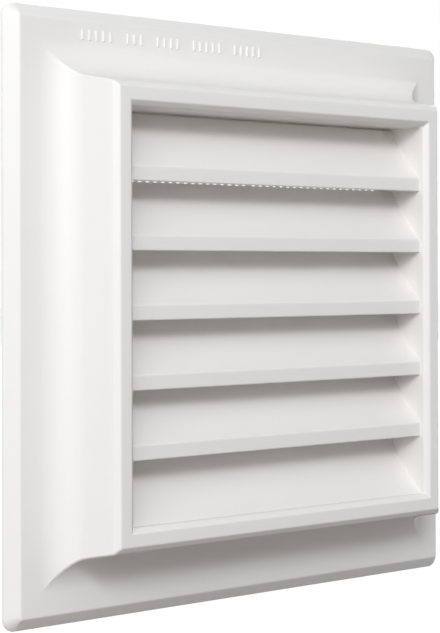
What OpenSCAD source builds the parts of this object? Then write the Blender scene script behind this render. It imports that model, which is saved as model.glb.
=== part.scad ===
// Square louvred ventilation grille for a wall opening.
// A flat flange rises through a hollow cove to a square hood with fixed louvres,
// and an insect net clips into the back of the hood.
// +X is right, +Y points into the wall and +Z is up. The origin is the middle of the back.

/* [Plate] */
// Width of the plate
plate_w = 140; // [120:1:220]
// Height of the plate
plate_h = 140; // [120:1:220]
// Depth from the wall to the flat face of the flange
flange_depth = 3.4; // [3:0.1:5]
// Height of the square land at the foot of the rim
rim_land = 0.9; // [0.5:0.1:1.8]
// Width of the bevel round the rim
rim_bevel = 2.9; // [1.6:0.1:4]
// Width of the ring that seats on the wall
rim_seat = 2.6; // [2:0.1:5]
// Thickness of the shell
wall = 2; // [1.4:0.1:2.4]

/* [Hood] */
// Distance from the edge of the plate to the front edge of the hood
hood_inset = 18.8; // [17:0.2:26]
// Distance from the wall to the front of the hood
projection = 19.2; // [17:0.2:26]
// Radius of the cove between flange and hood
cove_r = 8.1; // [4:0.1:9]
// Draft angle of the sides of the hood, in degrees
side_draft = 11; // [4:1:14]
// Chamfer round the front of the hood
hood_chamfer = 1.3; // [0.6:0.1:2]
// Width of the flat frame round the opening
frame_w = 3; // [2:0.1:6]
// Chamfer round the inside of the frame
reveal_chamfer = 1.2; // [0.5:0.1:2]
// Thickness of the sleeve that carries the louvres
sleeve_t = 1.6; // [1.2:0.1:2]

/* [Louvres] */
// Vertical distance from louvre to louvre
louvre_pitch = 15.7; // [13:0.1:20]
// Height of the middle of the row of louvres above the middle of the opening
louvre_shift = 0.7; // [0:0.1:1.5]
// Height of the upright lip at the front of a louvre
lip_h = 3.4; // [2:0.1:4.5]
// Thickness of the lip
lip_t = 1.6; // [1:0.1:2.4]
// Distance of the lips behind the front of the hood
lip_recess = 2.3; // [1.5:0.1:4]
// Thickness of the louvre blade
blade_t = 1.6; // [1:0.1:2.2]
// Slope of the blade at its lip, in degrees
slope_front = 41; // [36:1:46]
// Slope of the blade at its rear edge, in degrees
slope_rear = 62; // [54:1:68]
// Space between the rear edges of the blades and the net
net_clear = 2.7; // [1.5:0.1:4]
// Extra depth of the sloping sill behind the louvres
sill_extra = 0.6; // [0:0.1:1.2]

/* [Insect net] */
// Distance from the wall to the ledge that the net seats on
net_seat = 4.2; // [3.8:0.1:5]
// Width of that ledge
net_ledge = 1; // [0.8:0.1:1.5]
// Play round the edge of the net
net_play = 0.25; // [0.15:0.05:0.4]
// Thickness of the net
net_t = 1; // [0.8:0.1:1.4]
// Width of the plain border of the net
net_border = 3.8; // [2.5:0.1:6]
// Width of the two ribs that cross in the middle of the net
net_rib = 1.4; // [1:0.1:3]
// Width of the strands of the net
net_strand = 0.9; // [0.6:0.1:1.6]
// Number of meshes from the middle rib to the border
net_meshes = 5; // [3:1:5]
// Length of a snap catch
catch_l = 8; // [4:0.5:14]
// Reach of a snap catch over the edge of the net
catch_reach = 0.35; // [0.25:0.05:0.5]
// Depth of a snap catch
catch_depth = 1; // [0.8:0.1:1.2]
// Play between the catches and the net
catch_play = 0.1; // [0.05:0.05:0.2]

/* [Hidden] */
past = 1;
cove_steps = 12;
corner_fn = 32;
blade_fn = 180;
white_plastic = [0.92, 0.92, 0.91];
net_plastic = [0.88, 0.88, 0.86];

// Section of the cove and the side of the hood, as distance from the plate's edge and depth
cove_run = cove_r * cos(side_draft);
cove_rise = cove_r * (1 - sin(side_draft));
side_rise = projection - hood_chamfer - flange_depth - cove_rise;
side_run = side_rise * tan(side_draft);
cove_start = hood_inset - hood_chamfer - side_run - cove_run;
cove_axis = flange_depth + cove_r;

// Distances of the opening, the sleeve and the net from the plate's edge
reveal_inset = hood_inset + frame_w;
opening_inset = reveal_inset + reveal_chamfer;
sleeve_inset = opening_inset - sleeve_t;
rebate_inset = opening_inset - net_ledge;
collar_inset = rebate_inset - sleeve_t;
net_inset = rebate_inset + net_play;
opening_w = plate_w - 2 * opening_inset;
opening_h = plate_h - 2 * opening_inset;

// Depths of the sleeve's back end, of the collar round the net and of the net itself
net_back = net_seat - net_t;
sleeve_back = net_back - catch_play - catch_depth;
collar_front = net_seat + sleeve_t;

// Louvre section: a lip and a blade that steepens along an arc towards the back
lip_front = projection - lip_recess;
blade_run = lip_front - net_seat - net_clear;
blade_r = blade_run / (sin(slope_rear) - sin(slope_front));
louvre_count = max(1, round(opening_h / louvre_pitch) - 1);
top_lip = louvre_shift + lip_h / 2 + louvre_pitch * (louvre_count - 1) / 2;

function arc(x, y, r, from, to, steps) =
    [for (i = [0:steps]) let (a = from + (to - from) * i / steps) [x + r * cos(a), y + r * sin(a)]];

// Both halves of a section from its right half, given as inset and depth
function both_sides(half, section) = concat(
    [for (p = section) [half - p[0], p[1]]],
    [for (i = [len(section) - 1:-1:0]) [section[i][0] - half, section[i][1]]]);

// Section of the hood at a distance inside its outer face
function hood_section(inside, low) = concat(
    [[cove_start, low]],
    arc(cove_start, cove_axis, cove_r + inside, -90, -side_draft, cove_steps));

// Four-sided form with the same section on every side, mitred at the corners
module mitred(section) {
    intersection() {
        rotate([90, 0, 0])
            linear_extrude(plate_h, center = true) polygon(both_sides(plate_w / 2, section));
        rotate([90, 0, 90])
            linear_extrude(plate_w, center = true) polygon(both_sides(plate_h / 2, section));
    }
}

module block(inset, low, high) {
    translate([inset - plate_w / 2, inset - plate_h / 2, low])
        cube([plate_w - 2 * inset, plate_h - 2 * inset, high - low]);
}

module rounded_outline() {
    square([plate_w, plate_h - 2 * rim_bevel], center = true);
    square([plate_w - 2 * rim_bevel, plate_h], center = true);
    for (x = [-1, 1], y = [-1, 1])
        translate([x * (plate_w / 2 - rim_bevel), y * (plate_h / 2 - rim_bevel)])
            circle(r = rim_bevel, $fn = corner_fn);
}

// Flange with a rounded foot whose bevel runs into sharp corners at its face
module rim() {
    linear_extrude(rim_land) rounded_outline();
    hull() {
        translate([0, 0, rim_land / 2]) linear_extrude(rim_land / 2) rounded_outline();
        block(rim_bevel, rim_land / 2, flange_depth);
    }
}

module hood() {
    mitred(concat(
        hood_section(0, 0),
        [[hood_inset - hood_chamfer, projection - hood_chamfer], [hood_inset, projection]]));
}

// Hollow behind the flange and the hood
module hollow() {
    top = projection - wall;
    end = [cove_start + (cove_r + wall) * cos(side_draft), cove_axis - (cove_r + wall) * sin(side_draft)];
    mitred(concat(
        [[rim_seat, -past], [rim_seat, flange_depth - wall]],
        hood_section(wall, flange_depth - wall),
        [[end[0] + (top - end[1]) * tan(side_draft), top]]));
}

module sleeve() {
    block(sleeve_inset, sleeve_back, projection - wall / 2);
    block(collar_inset, sleeve_back, collar_front);
}

module opening() {
    block(opening_inset, -past, projection + past);
    mitred([
        [opening_inset, projection - reveal_chamfer - past],
        [opening_inset, projection - reveal_chamfer],
        [reveal_inset - past, projection + past]]);
    block(rebate_inset, -past, net_seat);
}

// Section of a blade, from its front edge at the origin: x runs backwards and y upwards
module blade_section(run) {
    intersection() {
        translate([-blade_r * sin(slope_front), blade_r * cos(slope_front)]) difference() {
            circle(r = blade_r + blade_t, $fn = blade_fn);
            circle(r = blade_r, $fn = blade_fn);
        }
        translate([0, -lip_h]) square([run, lip_h + blade_r * cos(slope_front)]);
    }
}

module louvre_section() {
    blade_section(blade_run);
    translate([0, -lip_h]) square([lip_t, lip_h]);
}

// Runs a section across the opening, with its front edge in line with the lips
module across_opening(height) {
    translate([0, height, lip_front])
        rotate([0, 90, 0])
            linear_extrude(opening_w + sleeve_t, center = true) children();
}

// Louvres, and below them a blade without a lip as the sloping sill
module louvres() {
    intersection() {
        union() {
            for (i = [0:louvre_count - 1])
                across_opening(top_lip - i * louvre_pitch) louvre_section();
            across_opening(-opening_h / 2) blade_section(blade_run + sill_extra);
        }
        block(sleeve_inset, 0, projection);
    }
}

// Wedge on a wall at x = 0, with its flat side towards the net
module catch() {
    top = net_back - catch_play;
    rotate([90, 0, 0]) linear_extrude(catch_l, center = true)
        polygon([
            [sleeve_t / 2, sleeve_back], [0, sleeve_back],
            [-net_play - catch_reach, top], [sleeve_t / 2, top]]);
}

// Two catches on each side of the rebate
module catches() {
    for (turn = [0:3], along = [-1, 1]) {
        across = turn % 2 == 0 ? plate_w : plate_h;
        span = turn % 2 == 0 ? opening_h : opening_w;
        rotate([0, 0, 90 * turn])
            translate([across / 2 - rebate_inset, along * span / 4, 0]) catch();
    }
}

module grille() {
    color(white_plastic) rotate([90, 0, 0]) {
        difference() {
            union() {
                difference() {
                    union() {
                        rim();
                        hood();
                    }
                    hollow();
                }
                sleeve();
            }
            opening();
        }
        louvres();
        catches();
    }
}

// Meshes of one quarter of the net, from the middle ribs outwards
module quarter_meshes() {
    field = [plate_w / 2 - net_inset, plate_h / 2 - net_inset] - [1, 1] * (net_border + net_rib / 2);
    mesh = (field - [1, 1] * (net_meshes - 1) * net_strand) / net_meshes;
    for (i = [0:net_meshes - 1], j = [0:net_meshes - 1])
        translate([
            net_rib / 2 + i * (mesh[0] + net_strand),
            net_rib / 2 + j * (mesh[1] + net_strand),
            net_back - past])
            cube([mesh[0], mesh[1], net_t + 2 * past]);
}

module insect_net() {
    color(net_plastic) rotate([90, 0, 0]) difference() {
        block(net_inset, net_back, net_seat);
        for (x = [0, 1], y = [0, 1])
            mirror([x, 0, 0]) mirror([0, y, 0]) quarter_meshes();
    }
}

grille();
insect_net();
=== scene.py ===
"""White louvred ventilation grille with its insect net, in a plain studio.

Every length is in metres. +X is right as seen from the front, +Y points into the wall and
+Z is up. The origin is the middle of the plate's back.
"""
import math

import bpy
from mathutils import Matrix, Vector


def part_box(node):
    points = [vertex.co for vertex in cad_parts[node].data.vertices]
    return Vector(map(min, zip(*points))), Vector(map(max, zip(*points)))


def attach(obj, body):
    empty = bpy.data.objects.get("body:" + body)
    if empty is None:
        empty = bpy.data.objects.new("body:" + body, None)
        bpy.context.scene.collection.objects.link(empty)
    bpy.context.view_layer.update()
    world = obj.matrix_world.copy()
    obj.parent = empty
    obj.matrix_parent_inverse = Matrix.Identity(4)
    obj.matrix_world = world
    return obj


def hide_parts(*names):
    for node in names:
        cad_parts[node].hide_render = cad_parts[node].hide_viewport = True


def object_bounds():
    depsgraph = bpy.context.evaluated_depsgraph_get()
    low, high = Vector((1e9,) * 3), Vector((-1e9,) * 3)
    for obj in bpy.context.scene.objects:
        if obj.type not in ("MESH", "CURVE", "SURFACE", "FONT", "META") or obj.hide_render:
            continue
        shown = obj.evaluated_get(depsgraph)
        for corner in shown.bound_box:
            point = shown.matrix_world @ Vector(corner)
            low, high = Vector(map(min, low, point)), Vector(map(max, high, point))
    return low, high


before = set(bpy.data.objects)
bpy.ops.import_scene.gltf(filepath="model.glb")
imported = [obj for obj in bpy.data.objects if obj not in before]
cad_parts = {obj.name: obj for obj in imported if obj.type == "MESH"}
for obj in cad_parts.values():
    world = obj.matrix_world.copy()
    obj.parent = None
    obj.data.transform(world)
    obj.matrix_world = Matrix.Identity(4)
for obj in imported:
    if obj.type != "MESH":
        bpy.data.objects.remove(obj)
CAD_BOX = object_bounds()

bl_info = {
    "name": "Louvred Ventilation Grille",
    "version": (1, 0, 0),
    "blender": (4, 5, 0),
    "location": "3D View > Sidebar > Grille",
    "description": "Builds a moulded ventilation grille, its insect net and a plain studio",
    "category": "Add Mesh",
}

NET_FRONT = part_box("insect_net")[0].y
NET_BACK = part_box("insect_net")[1].y

# Two points closer than this are taken as one
NEAR = 1e-5
# How many strokes stand in each group of the row, from the left
STROKE_GROUPS = (5, 3, 4, 5, 5)
FLOOR_WIDTH = 6
# Each lamp's name, the setting of its power, its width, its side and height in degrees as
# seen from the grille, and its distance
LAMPS = (
    ("key_light", "key", 0.26, -34, 26, 1.2),
    ("side_light", "side", 1.0, -60, 20, 1.5),
    ("upper_light", "upper", 1.6, -15, 45, 1.5),
    ("right_light", "right", 1.6, 40, 14, 1.5),
    ("back_left_light", "back_left", 1.6, -120, 10, 1.5),
    ("back_right_light", "back_right", 1.6, 150, 10, 1.5),
)


def length(name, description, default, **more):
    """A size in metres for the panel."""
    return bpy.props.FloatProperty(
        name=name, description=description, default=default, min=0, unit="LENGTH",
        precision=5, **more)


def angle(name, description, degrees):
    """An angle for the panel, given in degrees."""
    return bpy.props.FloatProperty(
        name=name, description=description, default=math.radians(degrees), unit="ROTATION")


def power(name, description, default):
    """The power of a lamp for the panel."""
    return bpy.props.FloatProperty(
        name=name, description=description, default=default, min=0, unit="POWER")


def colour(name, description, default):
    """A linear colour for the panel."""
    return bpy.props.FloatVectorProperty(
        name=name, description=description, default=default, subtype="COLOR", min=0, max=1)


class ShellSizes(bpy.types.PropertyGroup):
    """Sizes of the flange, the hood and the hollow behind them"""
    plate_w: length("Plate width", "Width of the plate", CAD_BOX[1].x - CAD_BOX[0].x)
    plate_h: length("Plate height", "Height of the plate", CAD_BOX[1].z - CAD_BOX[0].z)
    projection: length("Projection", "Distance from the wall to the hood's front", -CAD_BOX[0].y)
    rim_land: length("Rim land", "Height of the square foot of the rim", 0.0009)
    rim_bevel: length("Rim bevel", "Width of the bevel round the rim", 0.0029)
    rim_seat: length("Rim seat", "Width of the ring on the wall", 0.0026)
    flange_depth: length("Flange depth", "Distance from the wall to the flange's face", 0.0034)
    wall: length("Wall", "Thickness of the shell", 0.002)
    hood_inset: length("Hood inset", "Distance from the plate's edge to the hood's front", 0.0188)
    cove_radius: length("Cove radius", "Radius between the flange and the hood", 0.0081)
    side_draft: angle("Side draft", "Lean of the hood's sides", 11)
    hood_chamfer: length("Hood chamfer", "Chamfer round the hood's front", 0.0013)
    frame_width: length("Frame width", "Width of the flat frame round the opening", 0.003)
    reveal_chamfer: length("Reveal chamfer", "Chamfer inside the frame", 0.0012)
    sleeve: length("Sleeve", "Thickness of the sleeve behind the frame", 0.0016)
    ledge: length("Ledge", "Width of the ledge under the net", 0.001)
    sleeve_back: length("Sleeve back", "Distance from the wall to the sleeve's end", 0.0021)
    fillet: length("Edge fillet", "Size of the small fillets on the edges", 0.0003)
    catch_length: length("Catch length", "Length of a snap catch", 0.008)
    catch_reach: length("Catch reach", "Reach of a snap catch from the sleeve", 0.0006)
    catch_depth: length("Catch depth", "Depth of a snap catch", 0.001)


class LouvreSizes(bpy.types.PropertyGroup):
    """Sizes of the louvres and the sill"""
    count: bpy.props.IntProperty(
        name="Louvres", description="Number of louvres with a lip", default=5, min=1)
    pitch: length("Pitch", "Distance from louvre to louvre", 0.0157)
    top: length("Top lip", "Height of the top louvre's lip above the middle", 0.0338)
    lip_front: length("Lip front", "Distance from the wall to the lips' front", 0.0169)
    lip_height: length("Lip height", "Height of the upright lip", 0.0034)
    lip_thickness: length("Lip thickness", "Thickness of the upright lip", 0.0016)
    blade_thickness: length("Blade thickness", "Thickness of the blade", 0.0016)
    blade_run: length("Blade run", "Depth of a blade from front to back", 0.010)
    sill_run: length("Sill run", "Depth of the sloping sill", 0.0106)
    slope_front: angle("Front slope", "Slope of a blade at its lip", 41)
    slope_rear: angle("Rear slope", "Slope of a blade at its back", 62)
    end_fillet: length("End fillet", "Radius where a louvre runs into the jamb", 0.0009)
    fillet: length("Edge fillet", "Size of the small fillets on the lips", 0.00033)


class NetSizes(bpy.types.PropertyGroup):
    """Sizes of the insect net"""
    half: length("Half width", "Distance from the middle to the net's edge", 0.04775)
    meshes: bpy.props.IntProperty(
        name="Meshes", description="Meshes from the middle rib to the border", default=19, min=1)
    pitch: length("Mesh pitch", "Distance from mesh to mesh", 0.002305)
    strand: length("Strand", "Width of a strand", 0.00055)
    first: length("First mesh", "Distance from the middle to the first mesh's centre", 0.00159)


class MarkSizes(bpy.types.PropertyGroup):
    """Sizes of the plain raised strokes on the flange"""
    left: bpy.props.FloatProperty(
        name="Left end", description="Where the row of strokes starts", default=-0.050,
        unit="LENGTH")
    low: length("Lower end", "Height of the strokes' lower ends above the middle", 0.0628)
    tall: length("Stroke height", "Height of a stroke", 0.0024)
    width: length("Stroke width", "Width of a stroke", 0.00055)
    spacing: length("Spacing", "Distance from stroke to stroke", 0.002)
    gap: length("Gap", "Extra distance between two groups", 0.003)
    relief: length("Relief", "How far a stroke stands proud", 0.0003)


class FinishColours(bpy.types.PropertyGroup):
    """Colours of the plastics"""
    body: colour("Body", "Main colour of the moulding", (0.855, 0.825, 0.792))
    body_deep: colour(
        "Body shade", "Colour of the moulding's darker patches", (0.835, 0.805, 0.772))
    net: colour("Net", "Main colour of the net", (0.80, 0.775, 0.745))
    net_deep: colour("Net shade", "Colour of the net's darker patches", (0.77, 0.745, 0.715))
    floor: colour("Floor", "Colour of the floor as the object sees it", (0.27, 0.25, 0.23))


class StudioSettings(bpy.types.PropertyGroup):
    """Place of the camera and strength of the lights"""
    eye: bpy.props.FloatVectorProperty(
        name="Camera", description="Place of the camera",
        default=(-0.29227, -0.33514, 0.009824), subtype="TRANSLATION", unit="LENGTH")
    yaw: bpy.props.FloatProperty(
        name="Yaw", description="Turn of the camera to the right", default=0.7068,
        unit="ROTATION")
    pitch: bpy.props.FloatProperty(
        name="Pitch", description="Upward tilt of the camera", default=0.0066, unit="ROTATION")
    roll: bpy.props.FloatProperty(
        name="Roll", description="Roll of the camera", default=-0.0027, unit="ROTATION")
    lens: bpy.props.FloatProperty(
        name="Lens", description="Focal length in millimetres", default=102.36, min=1)
    shift: bpy.props.FloatProperty(
        name="Shift", description="Vertical shift of the lens", default=-0.089)
    key: power("Key light", "Power of the key light at the front left", 4.9)
    side: power("Side light", "Power of the soft light at the left", 11.8)
    upper: power("Upper light", "Power of the large soft light above the front", 6.6)
    right: power("Right light", "Power of the large low light at the front right", 4.4)
    back_left: power("Back left light", "Power of the large light at the back left", 10.8)
    back_right: power("Back right light", "Power of the large light at the back right", 26.0)
    light: colour("Light colour", "Colour of the lamps", (0.932, 0.966, 1.0))


def start_mesh(name):
    """Names the new primitive, puts its place in its mesh and opens it with all selected."""
    piece = bpy.context.object
    piece.name = name
    piece.data.name = name
    bpy.ops.object.transform_apply(location=True, rotation=True, scale=True)
    bpy.ops.object.mode_set(mode="EDIT")
    bpy.ops.mesh.select_mode(type="FACE")
    bpy.ops.mesh.select_all(action="SELECT")
    return piece


def select_only(piece):
    """Leaves object mode with nothing but one piece selected."""
    if bpy.context.object and bpy.context.object.mode != "OBJECT":
        bpy.ops.object.mode_set(mode="OBJECT")
    bpy.ops.object.select_all(action="DESELECT")
    piece.select_set(True)
    bpy.context.view_layer.objects.active = piece


def clear_selection():
    """Leaves object mode with nothing selected."""
    if bpy.context.object and bpy.context.object.mode != "OBJECT":
        bpy.ops.object.mode_set(mode="OBJECT")
    bpy.ops.object.select_all(action="DESELECT")


def pick(piece, kind, test):
    """Selects the faces or the edges of an open mesh for which the test holds."""
    bpy.ops.mesh.select_mode(type=kind)
    bpy.ops.mesh.select_all(action="DESELECT")
    bpy.ops.object.mode_set(mode="OBJECT")
    mesh = piece.data
    if kind == "FACE":
        for face in mesh.polygons:
            face.select = test(face)
    else:
        for edge in mesh.edges:
            ends = [mesh.vertices[i].co for i in edge.vertices]
            edge.select = test(*ends)
    bpy.ops.object.mode_set(mode="EDIT")


def face_outwards(piece):
    """Points all the faces of a piece the same way, with its foremost one to the front."""
    bpy.ops.object.mode_set(mode="EDIT")
    bpy.ops.mesh.select_all(action="SELECT")
    bpy.ops.mesh.normals_make_consistent(inside=False)
    bpy.ops.object.mode_set(mode="OBJECT")
    foremost = min(piece.data.polygons, key=lambda face: face.center.y)
    if foremost.normal.y > 0:
        piece.data.flip_normals()


def apply_modifier(piece, name, kind, **settings):
    """Adds a modifier to a piece and applies it."""
    select_only(piece)
    modifier = piece.modifiers.new(name, kind)
    for key, value in settings.items():
        setattr(modifier, key, value)
    bpy.ops.object.modifier_apply(modifier=modifier.name)


def finish_mesh(piece, name, material, smooth=35):
    """Gives a piece its shading, name and material, and lets it ride on the fixed body."""
    select_only(piece)
    bpy.ops.object.shade_smooth_by_angle(angle=math.radians(smooth))
    apply_modifier(piece, "Weighted normals", "WEIGHTED_NORMAL", keep_sharp=True, weight=80)
    piece.name = name
    piece.data.name = name
    piece.data.materials.clear()
    piece.data.materials.append(material)
    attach(piece, "root")


def join(pieces):
    """Joins pieces into the first of them."""
    select_only(pieces[0])
    for piece in pieces:
        piece.select_set(True)
    bpy.ops.object.join()
    return pieces[0]


def copies(piece, heights):
    """Moves a piece to the first of the heights and a copy of it to each of the others."""
    made = [piece]
    for height in heights[1:]:
        other = piece.copy()
        other.data = piece.data.copy()
        bpy.context.collection.objects.link(other)
        other.data.transform(Matrix.Translation((0, 0, height)))
        made.append(other)
    piece.data.transform(Matrix.Translation((0, 0, heights[0])))
    return made


def shell_rings(s):
    """The rings of the shell after the flange's edge, each a distance from the plate's edge
    and a distance from the wall: over the hood, through the opening and back in the hollow."""
    draft = s.side_draft
    rise = s.projection - s.hood_chamfer - s.flange_depth - s.cove_radius * (1 - math.sin(draft))
    run = rise * math.tan(draft)
    start = s.hood_inset - s.hood_chamfer - run - s.cove_radius * math.cos(draft)
    axis = s.flange_depth + s.cove_radius

    def cove(radius, steps=14):
        turns = [math.pi / 2 + (draft - math.pi / 2) * i / steps for i in range(steps + 1)]
        return [(start + radius * math.cos(t), axis - radius * math.sin(t)) for t in turns]

    reveal = s.hood_inset + s.frame_width
    opening = reveal + s.reveal_chamfer
    rebate = opening - s.ledge
    seat = -NET_FRONT
    inner = cove(s.cove_radius + s.wall)
    top = s.projection - s.wall
    end = (inner[-1][0] + (top - inner[-1][1]) * math.tan(draft), top)
    return cove(s.cove_radius) + [
        (s.hood_inset - s.hood_chamfer, s.projection - s.hood_chamfer),
        (s.hood_inset, s.projection),
        (reveal, s.projection),
        (opening, s.projection - s.reveal_chamfer),
        (opening, seat),
        (rebate, seat),
        (rebate, s.sleeve_back),
        (rebate - s.sleeve, s.sleeve_back),
        (rebate - s.sleeve, seat + s.sleeve),
        (opening - s.sleeve, seat + s.sleeve),
        (opening - s.sleeve, top),
        end,
    ] + inner[::-1] + [(s.rim_seat, s.flange_depth - s.wall), (s.rim_seat, 0)]


def split_near_corners(piece, half_w, half_h, distance):
    """Cuts the long faces just short of the corners, so that their shading stays flat."""
    bpy.ops.object.mode_set(mode="EDIT")
    for side in (-1, 1):
        for place, normal in (
                ((side * (half_w - distance), 0, 0), (1, 0, 0)),
                ((0, 0, side * (half_h - distance)), (0, 0, 1))):
            bpy.ops.mesh.select_all(action="SELECT")
            bpy.ops.mesh.bisect(plane_co=place, plane_no=normal)
    bpy.ops.object.mode_set(mode="OBJECT")


def build_shell(s):
    """The flange, the hood and their hollow, drawn ring by ring from one square."""
    clear_selection()
    bpy.ops.mesh.primitive_plane_add(size=s.plate_w, rotation=(math.pi / 2, 0, 0))
    piece = start_mesh("shell")
    bpy.ops.transform.resize(value=(1, 1, s.plate_h / s.plate_w))
    bpy.ops.mesh.select_mode(type="VERT")
    bpy.ops.mesh.bevel(offset=s.rim_bevel, segments=12, affect="VERTICES")
    bpy.ops.mesh.select_mode(type="FACE")
    bpy.ops.mesh.select_all(action="SELECT")
    bpy.ops.mesh.extrude_region_move(TRANSFORM_OT_translate={"value": (0, -s.rim_land, 0)})
    bpy.ops.mesh.inset(thickness=s.rim_bevel, depth=s.flange_depth - s.rim_land)
    # The bevel's inset draws the points of each rounded corner together: they become one
    corner_width = 0.00012
    bpy.ops.mesh.remove_doubles(threshold=corner_width)
    inset, depth = s.rim_bevel, s.flange_depth
    for new_inset, new_depth in shell_rings(s):
        bpy.ops.mesh.extrude_region_move(
            TRANSFORM_OT_translate={"value": (0, depth - new_depth, 0)})
        across = (s.plate_w / 2 - new_inset) / (s.plate_w / 2 - inset)
        upright = (s.plate_h / 2 - new_inset) / (s.plate_h / 2 - inset)
        bpy.ops.transform.resize(value=(across, 1, upright))
        inset, depth = new_inset, new_depth
    # The last ring's face and the first one, on the wall, go. Their edges are bridged.
    bpy.ops.mesh.delete(type="ONLY_FACE")
    pick(piece, "FACE", lambda face: len(face.vertices) > 8 and face.normal.y > 0.9)
    bpy.ops.mesh.delete(type="ONLY_FACE")
    pick(piece, "EDGE", lambda a, b: abs(a.y) < NEAR and abs(b.y) < NEAR)
    bpy.ops.mesh.bridge_edge_loops()
    face_outwards(piece)
    apply_modifier(
        piece, "Fillets", "BEVEL", limit_method="ANGLE", angle_limit=math.radians(14),
        width=s.fillet, segments=4, use_clamp_overlap=False)
    split_near_corners(
        piece, s.plate_w / 2 - s.rim_bevel, s.plate_h / 2 - s.rim_bevel, distance=0.0005)
    return piece


def build_catches(s):
    """The snap catches that hold the net, two on each side of the sleeve."""
    rebate = s.plate_w / 2 - s.hood_inset - s.frame_width - s.reveal_chamfer + s.ledge
    # A catch stops just short of the sleeve's end, so that no two faces coincide
    short = 0.00005
    back, front = -s.sleeve_back - short, -s.sleeve_back - s.catch_depth
    middle = (back + front) / 2
    root = s.sleeve / 2
    catches = []
    for turn in range(4):
        for along in (-1, 1):
            clear_selection()
            bpy.ops.mesh.primitive_cube_add(
                size=1, location=(root / 2, middle, 0),
                scale=(root, back - front, s.catch_length))
            piece = start_mesh("catch")
            pick(piece, "EDGE",
                 lambda a, b: max(a.x, b.x) < root / 2 and max(a.y, b.y) < middle)
            bpy.ops.transform.translate(value=(-s.catch_reach, 0, 0))
            bpy.ops.mesh.select_all(action="SELECT")
            bpy.ops.transform.translate(value=(rebate, 0, along * (rebate - s.ledge) / 2))
            bpy.ops.transform.rotate(
                value=turn * math.pi / 2, orient_axis="Y", center_override=(0, 0, 0))
            bpy.ops.object.mode_set(mode="OBJECT")
            catches.append(piece)
    return catches


def blade_outline(s, run, lip):
    """Outline of a louvre, each point a distance behind its front edge and a height."""
    radius = s.blade_run / (math.sin(s.slope_rear) - math.sin(s.slope_front))
    back, up = -radius * math.sin(s.slope_front), radius * math.cos(s.slope_front)

    def height(outer, y):
        return up - math.sqrt((radius + outer) ** 2 - (y - back) ** 2)

    steps = 18
    # How far the sill runs on under the frame
    under_frame = 0.001
    foot = s.lip_thickness if lip else -under_frame
    start = min(foot, 0)
    above = [start + (run - start) * i / steps for i in range(steps + 1)]
    top = [(y, height(0, y)) for y in above]
    under = [foot + (run - foot) * i / steps for i in range(steps + 1)]
    bottom = [(y, height(s.blade_thickness, y)) for y in under]
    if not lip:
        return bottom + top[::-1]
    front = [(0, -s.lip_height), (s.lip_thickness, -s.lip_height)]
    outline = front + bottom + top[::-1]
    return softened(outline, (0, 1, len(outline) - 1), s.fillet)


def softened(outline, corners, reach, steps=4):
    """The outline with some of its corners, given by number, drawn as small curves."""
    points = [Vector(p) for p in outline]
    drawn = []
    for i, corner in enumerate(points):
        if i not in corners:
            drawn.append(corner)
            continue
        start = corner + (points[i - 1] - corner).normalized() * reach
        end = corner + (points[(i + 1) % len(points)] - corner).normalized() * reach
        for t in (step / steps for step in range(steps + 1)):
            drawn.append(start * (1 - t) ** 2 + corner * 2 * t * (1 - t) + end * t ** 2)
    return drawn


def grown(outline, distance):
    """The outline, moved outwards by a distance along every side."""
    points = [Vector(p) for p in outline]
    moved = []
    for i, point in enumerate(points):
        before = (point - points[i - 1]).normalized()
        after = (points[(i + 1) % len(points)] - point).normalized()
        first = Vector((before.y, -before.x))
        second = Vector((after.y, -after.x))
        moved.append(point + (first + second) * distance / (1 + first.dot(second)))
    return moved


def build_louvre(s, half, run, lip):
    """One louvre that flares into the jambs: half of it is drawn and then mirrored."""
    outline = grown(blade_outline(s, run, lip), s.end_fillet)
    clear_selection()
    bpy.ops.mesh.primitive_circle_add(vertices=len(outline), radius=0.01, fill_type="NGON")
    piece = bpy.context.object
    # How far the end is sunk in the jamb
    in_jamb = 0.0004
    for vertex, point in zip(piece.data.vertices, outline):
        vertex.co = (-half - in_jamb, point.x - s.lip_front, point.y)
    start_mesh("louvre")
    bpy.ops.mesh.normals_make_consistent(inside=False)
    bpy.ops.mesh.extrude_region_move(TRANSFORM_OT_translate={"value": (in_jamb, 0, 0)})
    steps = 6
    for i in range(steps):
        low, high = math.pi / 2 * i / steps, math.pi / 2 * (i + 1) / steps
        bpy.ops.mesh.inset(
            thickness=s.end_fillet * (math.sin(high) - math.sin(low)),
            depth=s.end_fillet * (math.cos(low) - math.cos(high)))
    bpy.ops.mesh.extrude_region_move(
        TRANSFORM_OT_translate={"value": (half - s.end_fillet, 0, 0)})
    bpy.ops.transform.resize(value=(0, 1, 1), center_override=(0, 0, 0))
    bpy.ops.mesh.delete(type="ONLY_FACE")
    bpy.ops.object.mode_set(mode="OBJECT")
    apply_modifier(
        piece, "Other half", "MIRROR", use_axis=(True, False, False), use_clip=True,
        merge_threshold=NEAR)
    face_outwards(piece)
    return piece


def node(tree, kind, place, **settings):
    """Adds a shader node, with sockets and settings by name."""
    made = tree.nodes.new(kind)
    made.location = place
    for key, value in settings.items():
        if key in made.inputs:
            made.inputs[key].default_value = value
        else:
            setattr(made, key, value)
    return made


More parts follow.
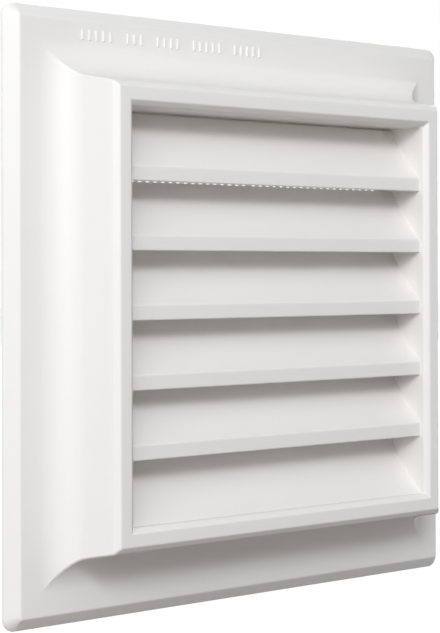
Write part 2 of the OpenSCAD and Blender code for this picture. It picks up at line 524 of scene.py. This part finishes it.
def plastic(name, main, shade, roughness, grain, relief):
    """Moulded plastic: faint cloudy colour, uneven gloss and a fine satin grain."""
    # How far the roughness departs from its mean
    uneven = 0.05
    material = bpy.data.materials.new(name)
    material.use_nodes = True
    tree = material.node_tree
    shader = tree.nodes["Principled BSDF"]
    shader.inputs["IOR"].default_value = 1.46
    place = node(tree, "ShaderNodeTexCoord", (-900, 0))
    cloud = node(tree, "ShaderNodeTexNoise", (-700, 200), Scale=38.0, Detail=4.0, Roughness=0.55)
    tint = node(tree, "ShaderNodeMix", (-300, 200), data_type="RGBA")
    tint.inputs["A"].default_value = (*main, 1)
    tint.inputs["B"].default_value = (*shade, 1)
    gloss = node(tree, "ShaderNodeTexNoise", (-700, -100), Scale=160.0, Detail=3.0)
    spread = node(tree, "ShaderNodeMapRange", (-300, -100))
    spread.inputs["To Min"].default_value = roughness - uneven
    spread.inputs["To Max"].default_value = roughness + uneven
    pores = node(tree, "ShaderNodeTexNoise", (-700, -400), Scale=grain, Detail=2.0)
    bump = node(tree, "ShaderNodeBump", (-300, -400), Strength=0.5, Distance=relief)
    links = tree.links
    for texture in (cloud, gloss, pores):
        links.new(place.outputs["Object"], texture.inputs["Vector"])
    links.new(cloud.outputs["Fac"], tint.inputs["Factor"])
    links.new(tint.outputs["Result"], shader.inputs["Base Color"])
    links.new(gloss.outputs["Fac"], spread.inputs["Value"])
    links.new(spread.outputs["Result"], shader.inputs["Roughness"])
    links.new(pores.outputs["Fac"], bump.inputs["Height"])
    links.new(bump.outputs["Normal"], shader.inputs["Normal"])
    return material


def seen_white(tree, plain, white):
    """Shows the white shader to the camera and in reflections, and the plain one to the rest."""
    path = node(tree, "ShaderNodeLightPath", (-600, 300))
    either = node(tree, "ShaderNodeMath", (-400, 300), operation="MAXIMUM")
    any_of = node(tree, "ShaderNodeMath", (-200, 300), operation="MAXIMUM")
    mix = node(tree, "ShaderNodeMixShader", (200, 100))
    tree.links.new(path.outputs["Is Camera Ray"], either.inputs[0])
    tree.links.new(path.outputs["Is Glossy Ray"], either.inputs[1])
    tree.links.new(either.outputs[0], any_of.inputs[0])
    tree.links.new(path.outputs["Is Transmission Ray"], any_of.inputs[1])
    tree.links.new(any_of.outputs[0], mix.inputs[0])
    tree.links.new(plain.outputs[0], mix.inputs[1])
    tree.links.new(white.outputs[0], mix.inputs[2])
    return mix


def add_lamp(name, light, watts, width, side, height, distance):
    """A square lamp that looks at the grille from a side and a height in degrees."""
    side, height = math.radians(side), math.radians(height)
    away = Vector((
        math.sin(side) * math.cos(height), -math.cos(side) * math.cos(height),
        math.sin(height)))
    data = bpy.data.lights.new(name, "AREA")
    data.color = light
    data.energy = watts
    data.size = width
    lamp = bpy.data.objects.new(name, data)
    lamp.location = away * distance
    lamp.rotation_euler = (-away).to_track_quat("-Z", "Y").to_euler()
    lamp.visible_camera = False
    bpy.context.collection.objects.link(lamp)


class GRILLE_OT_moulding(bpy.types.Operator):
    """Builds the moulding: flange, hood, sleeve, louvres, sill and catches"""
    bl_idname = "grille.moulding"
    bl_label = "Moulding"

    def execute(self, context):
        scene = context.scene
        s, blades, colours = scene.grille_shell, scene.grille_louvres, scene.grille_colours
        inset = s.hood_inset + s.frame_width + s.reveal_chamfer
        half = s.plate_w / 2 - inset
        sill = inset - s.plate_h / 2
        parts = [build_shell(s)] + build_catches(s)
        louvre = build_louvre(blades, half, blades.blade_run, True)
        parts += copies(louvre, [blades.top - i * blades.pitch for i in range(blades.count)])
        parts += copies(build_louvre(blades, half, blades.sill_run, False), [sill])
        piece = join(parts)
        finish_mesh(piece, "grille_moulding", plastic(
            "White moulded plastic", colours.body, colours.body_deep,
            roughness=0.4, grain=2600.0, relief=0.00002))
        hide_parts("grille")
        return {"FINISHED"}


class GRILLE_OT_net(bpy.types.Operator):
    """Builds the insect net: one quarter is drawn and mirrored, then given its thickness"""
    bl_idname = "grille.net"
    bl_label = "Insect net"

    def execute(self, context):
        s, colours = context.scene.grille_net, context.scene.grille_colours
        low = s.first - s.pitch / 2
        high = low + s.meshes * s.pitch
        clear_selection()
        bpy.ops.mesh.primitive_grid_add(
            x_subdivisions=s.meshes, y_subdivisions=s.meshes, size=high - low,
            location=((low + high) / 2, NET_FRONT, (low + high) / 2),
            rotation=(math.pi / 2, 0, 0))
        piece = start_mesh("net")
        bpy.ops.mesh.inset(thickness=s.strand / 2, use_individual=True)
        bpy.ops.mesh.delete(type="FACE")
        for axis in (0, 2):
            for edge, reach in ((high, s.half - high), (low, -low)):
                pick(piece, "EDGE",
                     lambda a, b: max(abs(a[axis] - edge), abs(b[axis] - edge)) < NEAR)
                move = [0, 0, 0]
                move[axis] = reach
                bpy.ops.mesh.extrude_region_move(TRANSFORM_OT_translate={"value": move})
        bpy.ops.mesh.select_all(action="SELECT")
        bpy.ops.mesh.remove_doubles(threshold=NEAR)
        bpy.ops.object.mode_set(mode="OBJECT")
        apply_modifier(
            piece, "Quarters", "MIRROR", use_axis=(True, False, True), merge_threshold=NEAR)
        face_outwards(piece)
        apply_modifier(
            piece, "Thickness", "SOLIDIFY", thickness=NET_BACK - NET_FRONT, offset=-1)
        finish_mesh(piece, "insect_net_mesh", plastic(
            "Off-white net plastic", colours.net, colours.net_deep,
            roughness=0.5, grain=1500.0, relief=0.00003), smooth=20)
        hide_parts("insect_net")
        return {"FINISHED"}


class GRILLE_OT_marks(bpy.types.Operator):
    """Builds the row of plain raised strokes on the upper flange"""
    bl_idname = "grille.marks"
    bl_label = "Raised strokes"

    def execute(self, context):
        s = context.scene.grille_marks
        face = -context.scene.grille_shell.flange_depth
        # How far a stroke is sunk in the flange
        sunk = 0.0002
        strokes = []
        x = s.left
        for count in STROKE_GROUPS:
            for _ in range(count):
                clear_selection()
                bpy.ops.mesh.primitive_cube_add(
                    size=1, location=(x, face + sunk / 2, s.low + s.tall / 2),
                    scale=(s.width, sunk, s.tall))
                piece = start_mesh("stroke")
                pick(piece, "FACE", lambda f: f.normal.y < -0.9)
                bpy.ops.mesh.inset(thickness=s.relief / 3, depth=s.relief)
                bpy.ops.object.mode_set(mode="OBJECT")
                strokes.append(piece)
                x += s.spacing
            x += s.gap
        piece = join(strokes)
        finish_mesh(piece, "raised_strokes", bpy.data.materials["White moulded plastic"])
        return {"FINISHED"}


class GRILLE_OT_studio(bpy.types.Operator):
    """Sets up the pale floor, the soft lights and the camera"""
    bl_idname = "grille.studio"
    bl_label = "Studio"

    def execute(self, context):
        s, colours = context.scene.grille_studio, context.scene.grille_colours
        clear_selection()
        bpy.ops.mesh.primitive_plane_add(size=FLOOR_WIDTH, location=(0, 0, CAD_BOX[0].z))
        floor = context.object
        floor.name = "studio_floor"
        pale = bpy.data.materials.new("Pale floor")
        pale.use_nodes = True
        tree = pale.node_tree
        tree.nodes.remove(tree.nodes["Principled BSDF"])
        plain = node(tree, "ShaderNodeBsdfDiffuse", (-200, 0), Color=(*colours.floor, 1))
        shadow = node(tree, "ShaderNodeBsdfDiffuse", (-400, -200), Color=(0.25, 0.25, 0.25, 1))
        glow = node(tree, "ShaderNodeEmission", (-400, -400), Strength=0.93)
        white = node(tree, "ShaderNodeAddShader", (-200, -200))
        tree.links.new(shadow.outputs[0], white.inputs[0])
        tree.links.new(glow.outputs[0], white.inputs[1])
        mix = seen_white(tree, plain, white)
        tree.links.new(mix.outputs[0], tree.nodes["Material Output"].inputs["Surface"])
        floor.data.materials.append(pale)
        world = bpy.data.worlds.new("Studio room")
        context.scene.world = world
        world.use_nodes = True
        tree = world.node_tree
        room = tree.nodes["Background"]
        room.inputs["Strength"].default_value = 0
        white = node(tree, "ShaderNodeBackground", (-200, -200), Color=(1, 1, 1, 1), Strength=1.0)
        mix = seen_white(tree, room, white)
        tree.links.new(mix.outputs[0], tree.nodes["World Output"].inputs["Surface"])
        for name, setting, *place in LAMPS:
            add_lamp(name, s.light, getattr(s, setting), *place)
        data = bpy.data.cameras.new("camera")
        data.lens = s.lens
        data.shift_y = s.shift
        data.clip_start = 0.01
        camera = bpy.data.objects.new("camera", data)
        context.collection.objects.link(camera)
        turn = (Matrix.Rotation(-s.yaw, 4, "Z") @ Matrix.Rotation(math.pi / 2 + s.pitch, 4, "X")
                @ Matrix.Rotation(s.roll, 4, "Z"))
        camera.matrix_world = Matrix.Translation(s.eye) @ turn
        context.scene.camera = camera
        context.scene.view_settings.view_transform = "Standard"
        return {"FINISHED"}


class GRILLE_PT_panel(bpy.types.Panel):
    """The sidebar panel with the sizes and the build buttons"""
    bl_label = "Ventilation Grille"
    bl_idname = "GRILLE_PT_panel"
    bl_space_type = "VIEW_3D"
    bl_region_type = "UI"
    bl_category = "Grille"

    def draw(self, context):
        for operator in OPERATORS:
            self.layout.operator(operator.bl_idname)
        for name in SETTINGS:
            box = self.layout.box()
            group = getattr(context.scene, name)
            for key in group.__annotations__:
                box.prop(group, key)


OPERATORS = (GRILLE_OT_moulding, GRILLE_OT_net, GRILLE_OT_marks, GRILLE_OT_studio)
SETTINGS = {
    "grille_shell": ShellSizes,
    "grille_louvres": LouvreSizes,
    "grille_net": NetSizes,
    "grille_marks": MarkSizes,
    "grille_colours": FinishColours,
    "grille_studio": StudioSettings,
}


def register():
    for group in SETTINGS.values():
        bpy.utils.register_class(group)
    for operator in OPERATORS:
        bpy.utils.register_class(operator)
    bpy.utils.register_class(GRILLE_PT_panel)
    for name, group in SETTINGS.items():
        setattr(bpy.types.Scene, name, bpy.props.PointerProperty(type=group))


def unregister():
    for name in SETTINGS:
        delattr(bpy.types.Scene, name)
    bpy.utils.unregister_class(GRILLE_PT_panel)
    for operator in OPERATORS:
        bpy.utils.unregister_class(operator)
    for group in SETTINGS.values():
        bpy.utils.unregister_class(group)


def main():
    register()
    bpy.ops.grille.moulding()
    bpy.ops.grille.net()
    bpy.ops.grille.marks()
    bpy.ops.grille.studio()
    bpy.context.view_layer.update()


if __name__ == "__main__":
    main()
